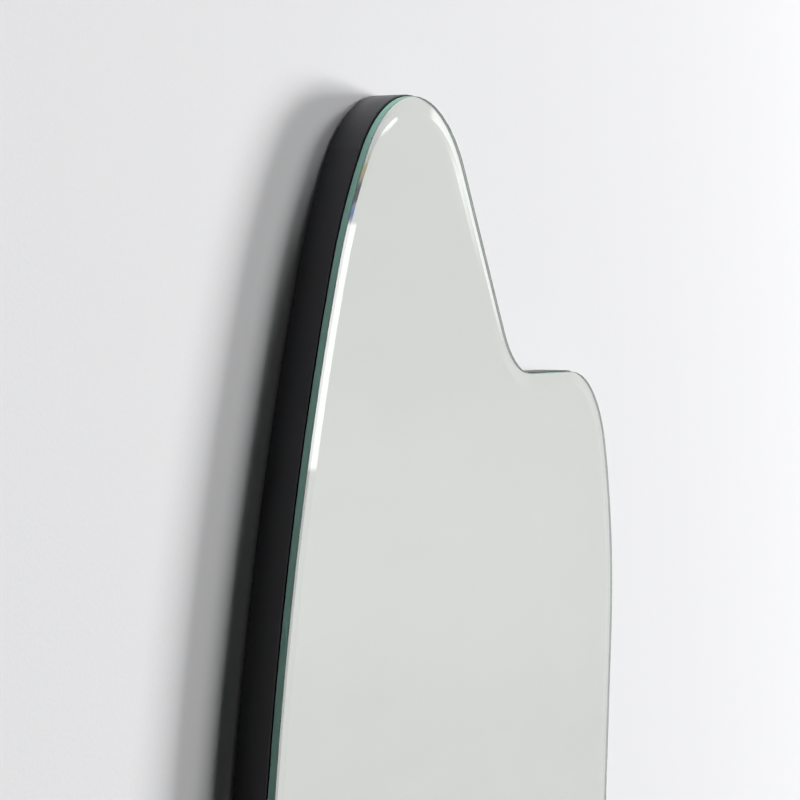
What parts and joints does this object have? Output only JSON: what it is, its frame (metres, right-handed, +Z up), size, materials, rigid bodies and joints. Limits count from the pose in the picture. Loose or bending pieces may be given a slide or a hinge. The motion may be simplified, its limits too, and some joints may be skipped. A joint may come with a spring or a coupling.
{
  "type": "freeform wall mirror",
  "caption": "Frameless wall mirror with a freeform lobed outline: bevelled silvered glass bonded to a black lacquered board that hangs on recessed keyhole plates.",
  "frame": {"origin": "middle of the line between the two keyhole openings, in the plane of the board's back face", "axes": "+X to the right along the wall as seen from the front, +Y into the wall, +Z up; the glass faces -Y"},
  "size_m": [0.518, 0.0227, 0.7978],
  "materials": {
    "black_lacquered_board": "satin black lacquer on fibreboard",
    "mirror_silver": "silver coat with grey protective paint on its back",
    "float_glass": "polished face and bevel, fine-ground edge",
    "foam_tape": "white closed-cell foam",
    "mirror_adhesive": "cured neutral sealant",
    "zinc_plated_steel": "bright zinc plate",
    "screw_steel": "bright zinc plate",
    "bumper_rubber": "matt black"
  },
  "bodies": {
    "root": {"backing_board": "black_lacquered_board", "silver_coat": "mirror_silver", "mirror_glass": "float_glass", "mirror_tape_1": "foam_tape", "mirror_tape_2": "foam_tape", "mirror_tape_3": "foam_tape", "mirror_tape_4": "foam_tape", "mirror_tape_5": "foam_tape", "adhesive_bead_1": "mirror_adhesive", "adhesive_bead_2": "mirror_adhesive", "adhesive_bead_3": "mirror_adhesive", "adhesive_bead_4": "mirror_adhesive", "keyhole_plate_left": "zinc_plated_steel", "keyhole_plate_right": "zinc_plated_steel", "hanger_screws_left": "screw_steel", "hanger_screws_right": "screw_steel", "wall_bumper_top": "bumper_rubber", "wall_bumper_shoulder": "bumper_rubber", "wall_bumper_hip": "bumper_rubber", "wall_bumper_foot": "bumper_rubber"}
  },
  "joints": []
}
